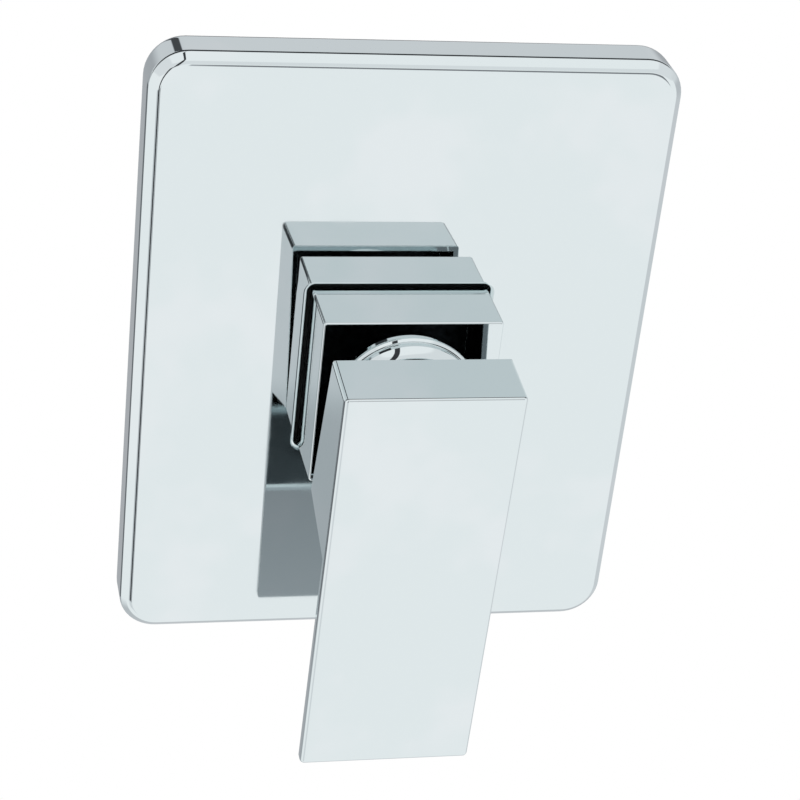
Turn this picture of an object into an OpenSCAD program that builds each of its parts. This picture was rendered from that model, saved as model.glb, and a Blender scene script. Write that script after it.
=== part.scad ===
// Concealed single-lever shower mixer with a square hub on a rectangular wall plate.
// The wall is the plane y = 0 and the front faces -Y. The origin is where the hub's axis
// meets the wall. Left and right are seen from the front, millimetres throughout.

/* [Cover plate] */
// Width of the wall plate
plate_w = 140; // [110:1:200]
// Height of the wall plate
plate_h = 174; // [130:1:240]
// How far the plate's face stands off the wall
plate_depth = 13.4; // [11:0.2:18]
// Radius of the plate's corners
plate_corner = 10.5; // [5:0.5:20]
// Width of the bevel round the plate's face
plate_bevel = 2.4; // [0.8:0.2:3]
// Thickness of the plate's front wall
plate_wall = 1.8; // [1.2:0.1:2.4]
// Thickness of the plate's side walls
rim_wall = 2.4; // [1.8:0.1:4]
// Middle of the plate above the hub's axis
plate_raise = 2.5; // [0:0.5:8]
// Gap between the plate's opening and the sleeve
opening_gap = 0.8; // [0.6:0.1:2]
// Radius of the opening's corners
opening_corner = 2; // [1.5:0.5:5]
// Rounded-over edge of the opening
opening_edge = 1.2; // [0.4:0.1:1.4]
// Depth of the lip turned back round the opening
lip_depth = 8.5; // [6.5:0.5:9]
// Thickness of that lip
lip_wall = 1.6; // [1.5:0.1:3]
// Width of the gasket behind the rim
gasket_w = 5; // [3:0.5:9]
// Thickness of the gasket
gasket_t = 1.6; // [1:0.2:3]
// Skin of the rim outside the gasket
rim_skin = 1; // [0.6:0.1:1.4]

/* [Sleeve] */
// Side of the square sleeve
sleeve_size = 48; // [44:0.5:60]
// How far the sleeve stands out of the plate
sleeve_out = 19; // [14:0.5:30]
// Wall of the sleeve
sleeve_wall = 2; // [1.2:0.1:2.1]
// How far the sleeve reaches in behind the wall's surface
sleeve_in = 3; // [0:0.5:5]
// Radius of the sleeve's long edges
sleeve_corner = 1; // [0.8:0.1:2]
// Bevel of the sleeve's front edges
sleeve_edge = 0.5; // [0.3:0.1:0.7]
// Width of the sleeve seal's flange behind the lip
seal_flange = 2.5; // [1.5:0.5:4]
// Thickness of that flange
seal_flange_t = 1.5; // [1:0.1:2]
// Length of the seal's web between lip and sleeve
seal_web = 4.4; // [3:0.2:5]
// Length of the centring ring in the sleeve
adaptor_len = 10; // [5:1:14]
// Distance of the centring ring behind the neck's end
adaptor_back = 4; // [2:0.5:6]
// Radius of the notches in the centring ring's corners
notch_r = 2; // [1:0.5:2]
// Distance of those notches from the ring's sides
notch_in = 3.5; // [3:0.5:4]
// Gap between the inside of the sleeve and the valve's neck
neck_gap = 1.1; // [1:0.1:1.6]

/* [Dome cap] */
// Radius of the dome cap
dome_r = 19.6; // [19.3:0.1:21]
// Height of the dome cap in front of the sleeve
dome_rise = 5.4; // [4:0.2:6.4]
// Radius of the dome cap's mouth
dome_mouth_r = 10.6; // [10.2:0.2:12]
// Wall of the dome cap
dome_wall = 1.2; // [0.9:0.1:1.3]
// Overlap of the dome cap on the sleeve's face
dome_overlap = 1.4; // [0.8:0.2:1.6]
// Thickness of the dome cap's flange
dome_flange = 1; // [0.8:0.1:1.4]
// Width of the step on that flange
dome_step = 0.9; // [0.9:0.1:2.6]
// Height of the straight tier between flange and dome
dome_tier = 2; // [1:0.2:2.6]
// Width of the flat crown round the mouth
dome_crown = 4.4; // [1.4:0.2:4.6]
// Broken edges of the dome cap
dome_edge = 0.3; // [0.1:0.1:0.4]

/* [Lever] */
// Width of the lever
lever_w = 47.4; // [36:0.5:56]
// Length of the lever's front face
lever_len = 121.4; // [90:1:160]
// Height of the block behind the lever
block_h = 46.2; // [42:0.5:54]
// Depth of the block at its top
block_top = 18; // [15:0.5:24]
// Depth of the block at its foot
block_foot = 25.6; // [22:0.2:28]
// How much lower the block meets the lever than its rear edge
foot_drop = 6.1; // [2:0.5:10]
// Thickness of the lever below the block
lever_t = 3.2; // [2.4:0.2:5]
// Walls of the hollow block
lever_wall = 1.6; // [1.2:0.1:2.4]
// Bevel on the lever's edges
lever_edge = 0.8; // [0.3:0.1:1.2]
// Radius of the lever's corners seen from the front
lever_corner = 1.2; // [0.6:0.2:2]
// Distance of the block's rear face from the pivot
block_out = 19.8; // [19.4:0.2:24]
// Height of the block's rear top edge above the stem
block_rise = 25.9; // [24:0.5:27]
// Radius of the boss round the stem
boss_r = 8.6; // [8:0.2:10]
// Distance of the boss inside the block's rear edge
boss_in = 1; // [0:0.2:3]
// Radius of the clamping screw
grub_r = 2.5; // [2:0.5:2.5]
// Wall of the pillar round the clamping screw
pillar_wall = 2; // [1.5:0.5:3]
// Depth of the screw's hexagon socket
socket_depth = 2.5; // [1.5:0.5:4]
// Length of the clamping screw
grub_len = 8; // [5:1:10]
// Position of the clamping screw along the stem
grub_out = 29; // [26:0.5:31]

/* [Movement] */
// Downward tilt of the closed lever's stem
closed_tilt = 13.5; // [10:0.5:13.5]
// Lift from closed to fully open
lift_angle = 25; // [15:1:25]
// Turn to each side of the middle
turn_angle = 45; // [20:5:45]
// Pivot behind the sleeve's front face
pivot_in = 12; // [11:0.5:13]
// Length of the stem's lower arm
arm_len = 15; // [14:0.5:15.5]

/* [Cartridge] */
// Wall of the cartridge housing
cart_wall = 1.6; // [1.2:0.1:1.8]
// Radius of the housing's neck
neck_r = 13.4; // [13:0.1:13.4]
// Radius of the turning guide in the neck
guide_r = 11.6; // [11.2:0.1:11.8]
// Height of the neck above the pivot
neck_over = 6; // [5:0.5:7]
// Shoulder of the housing below the pivot
shoulder_under = 6; // [5.5:0.5:6.5]
// Thickness of the housing under its shoulder
shoulder_t = 2.1; // [1.6:0.1:2.4]
// Underside of the housing below the pivot
housing_under = 27.4; // [27:0.2:29]
// Thickness of the cartridge base
base_t = 4; // [3.6:0.2:6]
// Radius of the base's locating pins
locating_r = 1.5; // [1:0.1:1.6]
// Length of the locating pins
locating_len = 3; // [2:0.5:5]
// Distance of the locating pins from the cartridge's side
locating_in = 3.7; // [3.5:0.1:4]
// Width of the keys that hold the fixed disc
key_w = 4; // [3:0.5:5]
// Length of those keys towards the axis
key_len = 2.3; // [1.5:0.1:2.5]
// Thickness of the fixed ceramic disc
fixed_t = 3.7; // [3:0.1:4]
// Thickness of the moving ceramic disc
moving_t = 3.2; // [2.6:0.1:3.2]
// Room left round the disc driver at the end of its travel
driver_room = 0.6; // [0.4:0.1:1]
// Rim of the driver outside the moving disc
driver_rim = 0.3; // [0.2:0.1:0.6]
// Flats on the driver's sides
driver_cut = 0.8; // [0.6:0.1:1.2]
// Radius of the pegs that carry the moving disc
peg_r = 1.2; // [0.8:0.1:1.4]
// Length of those pegs
peg_len = 1; // [0.6:0.1:1]
// Distance of the pegs from the driver's rim
peg_in = 2.8; // [2.4:0.1:3]
// Radius of the mixing pocket in the moving disc
pocket_r = 6.5; // [5:0.1:6.5]
// Rise of that pocket above the disc's middle
pocket_rise = 2; // [1:0.1:2]
// Radius of the ball on the stem's arm
ball_r = 3.8; // [3.4:0.1:4]
// Side of the square stem
stem_side = 8; // [7:0.2:8]
// Length of the stem in front of the pivot
stem_len = 35; // [32:0.5:35.5]
// Length of the square behind the pivot
stem_back = 5; // [4:0.5:6]
// Step from the ball to the stem's arm
arm_step = 0.8; // [0.4:0.1:1.2]
// Radius of the pivot pin
pin_r = 1.5; // [1.2:0.1:2]
// Sideways place of the hot and cold openings
inlet_x = 7; // [6.5:0.1:7.5]
// Drop of the hot and cold openings
inlet_drop = 3; // [2:0.2:4]
// Radius of the hot and cold openings
inlet_r = 2.6; // [2:0.1:2.8]
// Rise of the mixed-water opening
outlet_rise = 6.5; // [6:0.1:7]
// Radius of the mixed-water opening
outlet_r = 3.2; // [2.6:0.1:3.2]
// Section radius of the rubber rings
ring_s = 0.8; // [0.6:0.1:0.8]
// Bottom of the turning guide below the housing's shoulder
guide_under = 5.7; // [5.4:0.1:5.8]
// Height of the turning guide above the neck
guide_over = 1; // [0.8:0.1:1.2]
// Thickness of the limit ring
limit_t = 1; // [0.8:0.1:1.2]
// Half angle of the limit ring's lug
lug_half = 10; // [6:1:12]
// Reach of that lug into the guide
lug_reach = 1.8; // [1.4:0.1:2]
// Side of the limit ring's notches in the neck
tab_w = 3; // [2:0.2:4]

/* [Valve body] */
// Wall of the neck outside the ring nut's thread
neck_wall = 2; // [1.8:0.1:2.4]
// Step from the neck to the body behind the wall
body_step = 4.1; // [3:0.1:8]
// Length of the body behind the cartridge
body_back = 41; // [38:1:60]
// Distance of the port ends from the axis
port_reach = 42; // [40:1:60]
// Outer radius of the ports
port_r = 13.5; // [12.5:0.5:16]
// Thread radius in the ports
port_bore_r = 9.5; // [8.5:0.5:9.5]
// Depth of the port threads
port_thread = 13; // [10:0.5:13]
// Distance of the ports' seats on the body from the axis
port_seat = 27.5; // [27:0.5:28]
// Rim of the body's bosses outside the ports
seat_rim = 0.5; // [0:0.5:1.5]
// Thread radius of the ports' spigots in the body
spigot_r = 8.6; // [7.5:0.1:9]
// Length of the spigots
spigot_len = 6; // [4:0.5:8]
// Radius of the ways inside the hot and cold ports
way_r = 5.2; // [4:0.2:5.6]
// Radius of the ways to the outlets
outlet_way_r = 3.6; // [3:0.1:4]
// Chamfer at the mouth of each port
port_chamfer = 1.2; // [0.6:0.2:1.6]
// Depth of the ports behind the cartridge
port_back = 24; // [21:1:25]
// Across the flats of the hexagon on each port end
port_flats = 28; // [27.5:0.5:34]
// Length of that hexagon
port_hex = 8; // [5:1:12]
// Sideways and upward place of the fixing holes
lug_at = 31; // [28:1:40]
// Radius of the fixing holes
lug_hole_r = 2.6; // [2:0.1:3.4]
// Width of the fixing lugs
lug_w = 13; // [10:1:18]
// Thickness of the fixing lugs
lug_t = 5; // [3:0.5:8]
// How far the ring nut's corners stay inside the neck's radius
nut_inset = 0.1; // [0:0.1:0.6]
// Height of the ring nut's hexagon
nut_hex = 4.5; // [3:0.5:5]
// Wall of the ring nut's threaded skirt
nut_skirt_wall = 1.1; // [0.9:0.1:1.3]
// Length of that skirt below the housing's shoulder
nut_skirt = 5; // [4:0.5:6]
// Thickness of the ring nut over the shoulder
nut_lip = 3.5; // [3:0.5:4]
// Wall of the ring nut's collar for the dome cap
collar_wall = 3.1; // [2.4:0.1:3.1]
// Length of that collar
collar_len = 5.6; // [5:0.1:5.8]
// Across the flats of the outlet plug
plug_flats = 22; // [20:0.5:24]
// Length of the plug's thread
plug_len = 12; // [8:1:12]
// Thickness of the plug's head
plug_head = 5; // [3:0.5:8]
// Wall of the hollow plug
plug_wall = 2.9; // [2:0.1:4]
// Thickness of the plug's washer
washer_t = 1.5; // [1:0.1:3]
// Width of the plug's washer
washer_w = 2.6; // [1:0.2:3]

/* [Clearances] */
// Between a piece and the seat it slides into
fit_gap = 0.2; // [0.1:0.05:0.3]
// Between turning or tilting pieces
run_gap = 0.1; // [0.05:0.05:0.12]
// Between mating threads
thread_gap = 0.1; // [0.05:0.05:0.15]

/* [Hidden] */
$fn = 96;
eps = 0.01;
// Longer than any piece that it cuts or fills
through = 80;

chrome = [0.80, 0.83, 0.84];
brass = [0.78, 0.62, 0.34];
steel = [0.62, 0.64, 0.66];
rubber = [0.13, 0.13, 0.14];
plastic = [0.90, 0.90, 0.88];
grey_plastic = [0.45, 0.48, 0.52];
white_ceramic = [0.93, 0.90, 0.86];

// Places along the hub's axis, measured out of the wall
front_out = plate_depth + sleeve_out;
pivot_out = front_out - pivot_in;
neck_top = pivot_out + neck_over;
shoulder = pivot_out - shoulder_under;
housing_foot = pivot_out - housing_under;
chamber_floor = housing_foot - base_t;
body_rear = chamber_floor - body_back;
port_out = chamber_floor - port_back;
moving_foot = housing_foot + fixed_t + run_gap;
driver_foot = moving_foot + moving_t;

// Inwards from the square sleeve: neck, ring nut's thread, chamber and cartridge
body_neck_r = sleeve_size / 2 - sleeve_wall - neck_gap;
body_r = body_neck_r + body_step;
nut_r = body_neck_r - neck_wall - thread_gap;
chamber_r = nut_r - nut_skirt_wall;
cart_r = chamber_r - fit_gap;
nut_flats = 2 * cos(30) * (body_neck_r - nut_inset);
nut_bore_r = neck_r + 2 * fit_gap;
nut_rear = shoulder - nut_skirt;
neck_end = shoulder + nut_lip - 5 * thread_gap;
nut_hex_rear = shoulder + nut_lip;
collar_r = nut_bore_r + collar_wall;
collar_top = nut_hex_rear + nut_hex + collar_len;

// Dome cap
skirt_in_r = collar_r + thread_gap;
skirt_out_r = dome_r - dome_overlap - fit_gap;
skirt_rear = nut_hex_rear + nut_hex + 3 * fit_gap;

// Cartridge interior
room_r = cart_r - cart_wall;
guide_bore_r = guide_r + run_gap;
guide_floor = pivot_out - shoulder_under - guide_under;
guide_flange_r = room_r - 4 * run_gap;
guide_top = neck_top + guide_over;
guide_ceiling = shoulder - shoulder_t;
slot_half = stem_side / 2 / cos(closed_tilt)
    + (guide_top - pivot_out) * tan(closed_tilt) + 3 * fit_gap;
lug_in_r = guide_r - lug_reach;
// The arm's ball is above the axis while the stem points down
driver_rest = arm_len * sin(closed_tilt);
driver_r = room_r - driver_rest - driver_room;
moving_r = driver_r - driver_rim;
driver_flat = driver_r - driver_cut;
driver_top = guide_floor - 2 * run_gap;
ball_seat = pivot_out - arm_len - ball_r - 3 * run_gap;

// Lever block
wedge = atan((block_foot - block_top) / block_h);
foot_slope = foot_drop / (block_foot - lever_t);
socket_side = stem_side + 2 * run_gap;
socket_end = stem_len + 5 * run_gap;
boss_rear = block_out + boss_in;

// Sockets of the ports
port_floor = port_reach - port_thread;
seat_r = port_r + seat_rim;

// Draws its child with X to the right, Y up and Z out of the wall, at a distance out
module outward(distance) {
    translate([0, -distance, 0])
        rotate([90, 0, 0])
            children();
}

// Pivot's own frame: Z runs out along the stem, which points down by the closed tilt
module along_stem() {
    outward(pivot_out)
        rotate([closed_tilt, 0, 0])
            children();
}

// Rectangle with round corners
module rounded(w, h, r) {
    square([w - 2 * r, h], center = true);
    square([w, h - 2 * r], center = true);
    for (x = [-1, 1], y = [-1, 1]) {
        translate([x * (w / 2 - r), y * (h / 2 - r)])
            circle(r);
    }
}

// Straight layer between two half widths, run along X for the given length
module sloped_bar(length, low, high, t) {
    rotate([90, 0, 90])
        linear_extrude(length, center = true)
            polygon([[-low, 0], [low, 0], [high, t], [-high, t]]);
}

// Layer whose outline draws in evenly by c over the height t
module bevel_layer(w, h, r, t, c) {
    sloped_bar(w - 2 * r, h / 2, h / 2 - c, t);
    rotate([0, 0, 90])
        sloped_bar(h - 2 * r, w / 2, w / 2 - c, t);
    for (x = [-1, 1], y = [-1, 1]) {
        translate([x * (w / 2 - r), y * (h / 2 - r), 0])
            cylinder(h = t, r1 = r, r2 = r - c);
    }
}

// Rounded block with a bevel round its front face
module bevelled_block(w, h, r, t, c) {
    linear_extrude(t - c)
        rounded(w, h, r);
    translate([0, 0, t - c])
        bevel_layer(w, h, r, c, c);
}

// Opening with straight walls that widens at its mouth by c
module flared_opening(size, r, t, c) {
    linear_extrude(t)
        rounded(size, size, r);
    translate([0, 0, t + eps])
        mirror([0, 0, 1])
            bevel_layer(size + 2 * c + 2 * eps, size + 2 * c + 2 * eps, r + c, c + eps, c + eps);
}

// Hollow round piece
module tube(outer, inner, h) {
    difference() {
        cylinder(h = h, r = outer);
        translate([0, 0, -1])
            cylinder(h = h + 2, r = inner);
    }
}

// Hexagonal bar across its flats
module hex_bar(flats, h) {
    cylinder(h = h, r = flats / 2 / cos(30), $fn = 6);
}

// Rubber ring of round section
module o_ring(r, section) {
    rotate_extrude()
        translate([r, 0])
            circle(section, $fn = 32);
}

// Puts a child at each of the three water openings: hot, cold, mixed
module at_openings() {
    for (x = [-1, 1])
        translate([x * inlet_x, -inlet_drop, 0])
            children(0);
    translate([0, outlet_rise, 0])
        children(1);
}

// Water openings as bores
module opening_bores(h) {
    at_openings() {
        cylinder(h = h, r = inlet_r);
        cylinder(h = h, r = outlet_r);
    }
}

// Side of the plate's opening
opening_size = sleeve_size + 2 * opening_gap;

module cover_plate() {
    lip_size = opening_size + 2 * lip_wall;
    color(chrome)
    outward(0)
    difference() {
        union() {
            translate([0, plate_raise, 0])
                difference() {
                    bevelled_block(plate_w, plate_h, plate_corner, plate_depth, plate_bevel);
                    translate([0, 0, -1])
                        linear_extrude(plate_depth - plate_wall + 1)
                            rounded(plate_w - 2 * rim_wall, plate_h - 2 * rim_wall,
                                plate_corner - rim_wall / 2);
                    translate([0, 0, -1])
                        linear_extrude(gasket_t + 1)
                            rounded(plate_w - 2 * rim_skin, plate_h - 2 * rim_skin,
                                plate_corner - rim_skin);
                }
            translate([0, 0, plate_depth - lip_depth])
                linear_extrude(lip_depth - plate_wall / 2)
                    rounded(lip_size, lip_size, opening_corner + lip_wall);
        }
        translate([0, 0, -1])
            flared_opening(opening_size, opening_corner, plate_depth + 1, opening_edge);
    }
}

module plate_gasket() {
    outer_w = plate_w - 2 * rim_skin - fit_gap;
    outer_h = plate_h - 2 * rim_skin - fit_gap;
    outer_r = plate_corner - rim_skin - fit_gap / 2;
    color(rubber)
    outward(0)
        translate([0, plate_raise, 0])
            linear_extrude(gasket_t)
                difference() {
                    rounded(outer_w, outer_h, outer_r);
                    rounded(outer_w - 2 * gasket_w, outer_h - 2 * gasket_w,
                        max(outer_r - gasket_w, 1));
                }
}

// Square rubber ring: a web between lip and sleeve and a flange behind the lip
module sleeve_seal() {
    bore = sleeve_size + run_gap;
    web_size = opening_size - run_gap;
    flange = opening_size + 2 * seal_flange;
    color(rubber)
    outward(plate_depth - lip_depth)
        difference() {
            union() {
                linear_extrude(seal_web)
                    rounded(web_size, web_size, opening_corner);
                translate([0, 0, -seal_flange_t])
                    linear_extrude(seal_flange_t)
                        rounded(flange, flange, opening_corner + seal_flange);
            }
            translate([0, 0, -seal_flange_t - 1])
                linear_extrude(seal_web + seal_flange_t + 2)
                    rounded(bore, bore, sleeve_corner);
        }
}

module square_sleeve() {
    long = front_out + sleeve_in;
    inner = sleeve_size - 2 * sleeve_wall;
    color(chrome)
    outward(-sleeve_in)
        difference() {
            bevelled_block(sleeve_size, sleeve_size, sleeve_corner, long, sleeve_edge);
            translate([0, 0, -1])
                linear_extrude(long - sleeve_wall + 1)
                    rounded(inner, inner, sleeve_corner);
            translate([0, 0, long - sleeve_wall - 1])
                cylinder(h = sleeve_wall + 2, r = dome_r - dome_overlap);
        }
}

module sleeve_adaptor() {
    outer = sleeve_size - 2 * sleeve_wall - 2 * run_gap;
    color(grey_plastic)
    outward(neck_end - adaptor_len - adaptor_back)
        difference() {
            linear_extrude(adaptor_len)
                rounded(outer, outer, sleeve_corner);
            translate([0, 0, -1])
                cylinder(h = adaptor_len + 2, r = body_neck_r + run_gap);
            for (x = [-1, 1], y = [-1, 1])
                translate([x * (outer / 2 - notch_in), y * (outer / 2 - notch_in), notch_r])
                    cylinder(h = adaptor_len, r = notch_r);
        }
}

// Turned shell: threaded skirt, bevelled flange on the sleeve's face, straight tier and dome
module dome_cap() {
    step_r = dome_r - dome_step;
    room_in_r = step_r - dome_wall;
    crown_r = dome_mouth_r + dome_crown;
    low = front_out + dome_flange;
    high = front_out + dome_rise;
    rise = dome_rise - dome_flange - dome_tier;
    bevel = dome_flange * 0.6;
    edge = min(dome_edge, dome_flange / 4);
    color(chrome)
    outward(0)
        rotate_extrude()
            polygon([
                [skirt_in_r, skirt_rear],
                [skirt_out_r, skirt_rear],
                [skirt_out_r, front_out],
                [dome_r - edge, front_out],
                [dome_r, front_out + edge],
                [dome_r, low - bevel],
                [dome_r - bevel, low],
                [step_r, low],
                for (a = [0 : 9 : 90])
                    [step_r - (step_r - crown_r) * a / 90, low + dome_tier + rise * sin(a)],
                [dome_mouth_r + dome_edge, high],
                [dome_mouth_r, high - dome_edge],
                [dome_mouth_r, high - dome_wall],
                for (a = [90 : -9 : 0])
                    [room_in_r - (room_in_r - crown_r) * a / 90,
                        low + dome_tier - dome_wall + rise * sin(a)],
                [skirt_in_r, low - dome_wall]
            ]);
}

// Ring nut: threaded skirt round the housing, lip on its shoulder, hexagon and collar
module cartridge_nut() {
    color(brass)
    difference() {
        union() {
            outward(nut_rear)
                cylinder(h = nut_hex_rear - nut_rear + eps, r = nut_r);
            outward(nut_hex_rear)
                hex_bar(nut_flats, nut_hex);
            outward(nut_hex_rear + nut_hex - eps)
                cylinder(h = collar_top - nut_hex_rear - nut_hex + eps, r = collar_r);
        }
        outward(nut_rear - 1)
            cylinder(h = shoulder - nut_rear + 1, r = chamber_r);
        outward(shoulder - 1)
            cylinder(h = collar_top - shoulder + 2, r = nut_bore_r);
    }
}

// Places a child at the port that looks to the given side, Z out of the port
module at_port(side) {
    outward(port_out)
        rotate([0, 90, side])
            children();
}

// Brass body: neck and chamber in front, four seats for the ports, fixing lugs at the back
module valve_body() {
    side_end = inlet_x - inlet_r + 2 * fit_gap;
    front = chamber_floor + body_neck_r - chamber_r + 2;
    color(brass)
    difference() {
        union() {
            outward(body_rear)
                cylinder(h = front - body_rear, r = body_r);
            outward(front - 1)
                cylinder(h = neck_end - front + 1, r = body_neck_r);
            for (side = [0 : 90 : 270])
                at_port(side)
                    cylinder(h = port_seat, r = seat_r);
            outward(body_rear)
                linear_extrude(lug_t)
                    for (a = [45, 135]) {
                        rotate(a)
                            square([2 * sqrt(2) * lug_at, lug_w], center = true);
                        for (s = [-1, 1])
                            rotate(a)
                                translate([s * sqrt(2) * lug_at, 0])
                                    circle(lug_w / 2);
                    }
        }
        outward(chamber_floor)
            cylinder(h = neck_end - chamber_floor + 1, r = chamber_r);
        outward(nut_rear - 5 * thread_gap)
            cylinder(h = neck_end - nut_rear + 2, r = nut_r + thread_gap);
        for (side = [0 : 90 : 270])
            at_port(side)
                translate([0, 0, port_seat - spigot_len - fit_gap])
                    cylinder(h = spigot_len + 1, r = spigot_r);
        for (side = [0, 180])
            at_port(side)
                translate([0, 0, side_end])
                    cylinder(h = port_seat - side_end, r = way_r);
        for (side = [90, 270])
            at_port(side)
                translate([0, 0, -1])
                    cylinder(h = port_seat, r = outlet_way_r);
        outward(port_out)
            opening_bores(port_back + 1);
        outward(chamber_floor - locating_len - 2 * fit_gap)
            base_pin_places()
                cylinder(h = locating_len + 2 * fit_gap + eps, r = locating_r + fit_gap);
        for (x = [-1, 1], y = [-1, 1])
            outward(body_rear - 1)
                translate([x * lug_at, y * lug_at, 0])
                    cylinder(h = lug_t + 2, r = lug_hole_r);
    }
}

// Port screwed on a seat of the body: spigot behind, threaded mouth and hexagon in front
module port_socket() {
    color(brass)
    difference() {
        union() {
            translate([0, 0, port_seat - spigot_len])
                cylinder(h = spigot_len + eps, r = spigot_r - thread_gap);
            translate([0, 0, port_seat])
                cylinder(h = port_reach - port_seat - port_chamfer / 2, r = port_r);
            translate([0, 0, port_reach - port_hex])
                hex_bar(port_flats, port_hex);
        }
        translate([0, 0, port_seat - spigot_len - 1])
            cylinder(h = port_thread + spigot_len, r = way_r);
        translate([0, 0, port_floor])
            cylinder(h = port_thread + 1, r = port_bore_r);
        translate([0, 0, port_reach - port_chamfer])
            cylinder(h = port_chamfer + eps, r1 = port_bore_r, r2 = port_bore_r + port_chamfer);
    }
}

module hot_port() {
    at_port(180)
        port_socket();
}

module cold_port() {
    at_port(0)
        port_socket();
}

module shower_port() {
    at_port(90)
        port_socket();
}

module lower_port() {
    at_port(270)
        port_socket();
}

// Plug screwed into the lower port, its head below the port's end
module outlet_plug() {
    color(brass)
    translate([0, -port_out, -port_reach])
        difference() {
            union() {
                translate([0, 0, -washer_t - plug_head])
                    hex_bar(plug_flats, plug_head);
                translate([0, 0, -washer_t - eps])
                    cylinder(h = washer_t + plug_len, r = port_bore_r - thread_gap);
            }
            translate([0, 0, -washer_t - plug_head / 5])
                cylinder(h = washer_t + plug_len + plug_head, r = port_bore_r - thread_gap - plug_wall);
        }
}

module plug_washer() {
    color(rubber)
    translate([0, -port_out, -port_reach - washer_t])
        tube(port_bore_r + washer_w, port_bore_r, washer_t);
}

// Plastic can: room for the discs, top wall, narrow neck with notches for the limit ring
module cartridge_housing() {
    color(plastic)
    difference() {
        union() {
            outward(housing_foot)
                cylinder(h = shoulder - housing_foot, r = cart_r);
            outward(shoulder - 1)
                cylinder(h = neck_top - shoulder + 1, r = neck_r);
        }
        outward(housing_foot - 1)
            cylinder(h = guide_ceiling - housing_foot + 1, r = room_r);
        outward(guide_ceiling - 1)
            cylinder(h = neck_top - guide_ceiling + 2, r = guide_bore_r);
        outward(neck_top - limit_t - fit_gap)
            limit_tabs(run_gap);
    }
}

// Places of the base's locating pins
module base_pin_places() {
    for (a = [24, 156])
        rotate(a)
            translate([cart_r - locating_in, 0, 0])
                children();
}

// Keys on the base that stop the fixed disc from turning
module base_keys(gap, h) {
    key_in = room_r - key_len;
    for (x = [-1, 1])
        translate([x * (key_in + room_r) / 2 - (room_r - key_in) / 2 - gap, -key_w / 2 - gap, 0])
            cube([room_r - key_in + 2 * gap, key_w + 2 * gap, h]);
}

module cartridge_base() {
    color(grey_plastic)
    outward(chamber_floor)
        difference() {
            union() {
                cylinder(h = base_t, r = cart_r - 3 * run_gap);
                intersection() {
                    translate([0, 0, base_t - 1])
                        base_keys(0, fixed_t * 0.6 + 1);
                    cylinder(h = base_t + fixed_t, r = room_r - run_gap);
                }
                translate([0, 0, -locating_len])
                    base_pin_places()
                        cylinder(h = locating_len + eps, r = locating_r);
            }
            translate([0, 0, -1])
                opening_bores(base_t + 2);
            translate([0, 0, -eps])
                at_openings() {
                    tube(inlet_r + 2 * ring_s + 0.4, inlet_r + 0.3, 2 * ring_s);
                    tube(outlet_r + 2 * ring_s + 0.4, outlet_r + 0.3, 2 * ring_s);
                }
            translate([0, 0, base_t / 2 - ring_s - 0.1])
                tube(cart_r + 2, cart_r - 3 * run_gap - 2 * ring_s, 2 * ring_s + 0.2);
        }
}

module base_seals() {
    color(rubber)
    outward(chamber_floor + ring_s)
        at_openings() {
            o_ring(inlet_r + 0.35 + ring_s, ring_s - 0.05);
            o_ring(outlet_r + 0.35 + ring_s, ring_s - 0.05);
        }
}

module chamber_seal() {
    color(rubber)
    outward(chamber_floor + base_t / 2)
        o_ring(cart_r - 0.25 - ring_s, ring_s - 0.03);
}

module fixed_disc() {
    color(white_ceramic)
    outward(housing_foot)
        difference() {
            cylinder(h = fixed_t, r = room_r - fit_gap);
            translate([0, 0, -1])
                base_keys(0.15, fixed_t + 2);
            translate([0, 0, -1])
                opening_bores(fixed_t + 2);
        }
}

// The mixing pocket is open towards the fixed disc
module moving_disc() {
    color(white_ceramic)
    outward(moving_foot)
        translate([0, driver_rest, 0])
            difference() {
                cylinder(h = moving_t, r = moving_r);
                translate([0, pocket_rise, -1])
                    cylinder(h = moving_t / 2 + 1, r = pocket_r);
                translate([0, 0, moving_t - peg_len - fit_gap])
                    driver_pegs(run_gap, 3 * peg_len);
            }
}

// Pegs that carry the moving disc along with its driver
module driver_pegs(gap, h) {
    for (x = [-1, 1])
        translate([x * (driver_r - peg_in), 0, 0])
            cylinder(h = h, r = peg_r + gap);
}

module disc_driver() {
    color(grey_plastic)
    outward(driver_foot)
        translate([0, driver_rest, 0])
            difference() {
                union() {
                    intersection() {
                        cylinder(h = driver_top - driver_foot, r = driver_r);
                        cube([2 * driver_flat, through, through], center = true);
                    }
                    translate([0, 0, -peg_len])
                        driver_pegs(0, 2 * peg_len);
                }
                translate([-ball_r - run_gap, -ball_r - run_gap, ball_seat - driver_foot])
                    cube([2 * (ball_r + run_gap), 2 * (ball_r + run_gap), through]);
            }
}

// Turning guide: slot for the stem, rails beside the driver and a cut for the limit lug
module spindle_guide() {
    rail_in = driver_flat + 2 * run_gap;
    color(plastic)
    difference() {
        union() {
            outward(guide_floor)
                cylinder(h = guide_ceiling - run_gap - guide_floor, r = guide_flange_r);
            outward(guide_floor)
                cylinder(h = guide_top - guide_floor, r = guide_r);
            outward(driver_foot + 3 * run_gap)
                difference() {
                    cylinder(h = guide_floor - driver_foot - run_gap, r = guide_flange_r);
                    cube([2 * rail_in, through, through], center = true);
                }
        }
        outward(pivot_out)
            cube([stem_side + 3 * run_gap, 2 * slot_half, through], center = true);
        outward(pivot_out)
            rotate([0, 90, 0])
                cylinder(h = through, r = pin_r, center = true);
        outward(guide_ceiling + shoulder_t + run_gap)
            tube(guide_r + 2, guide_r - 2 * ring_s, 2 * ring_s + 2 * run_gap);
        outward(neck_top)
            stop_cut();
    }
}

module guide_ring() {
    color(rubber)
    outward(guide_ceiling + shoulder_t + 2 * run_gap + ring_s)
        o_ring(guide_r - ring_s, ring_s - 0.03);
}

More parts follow.
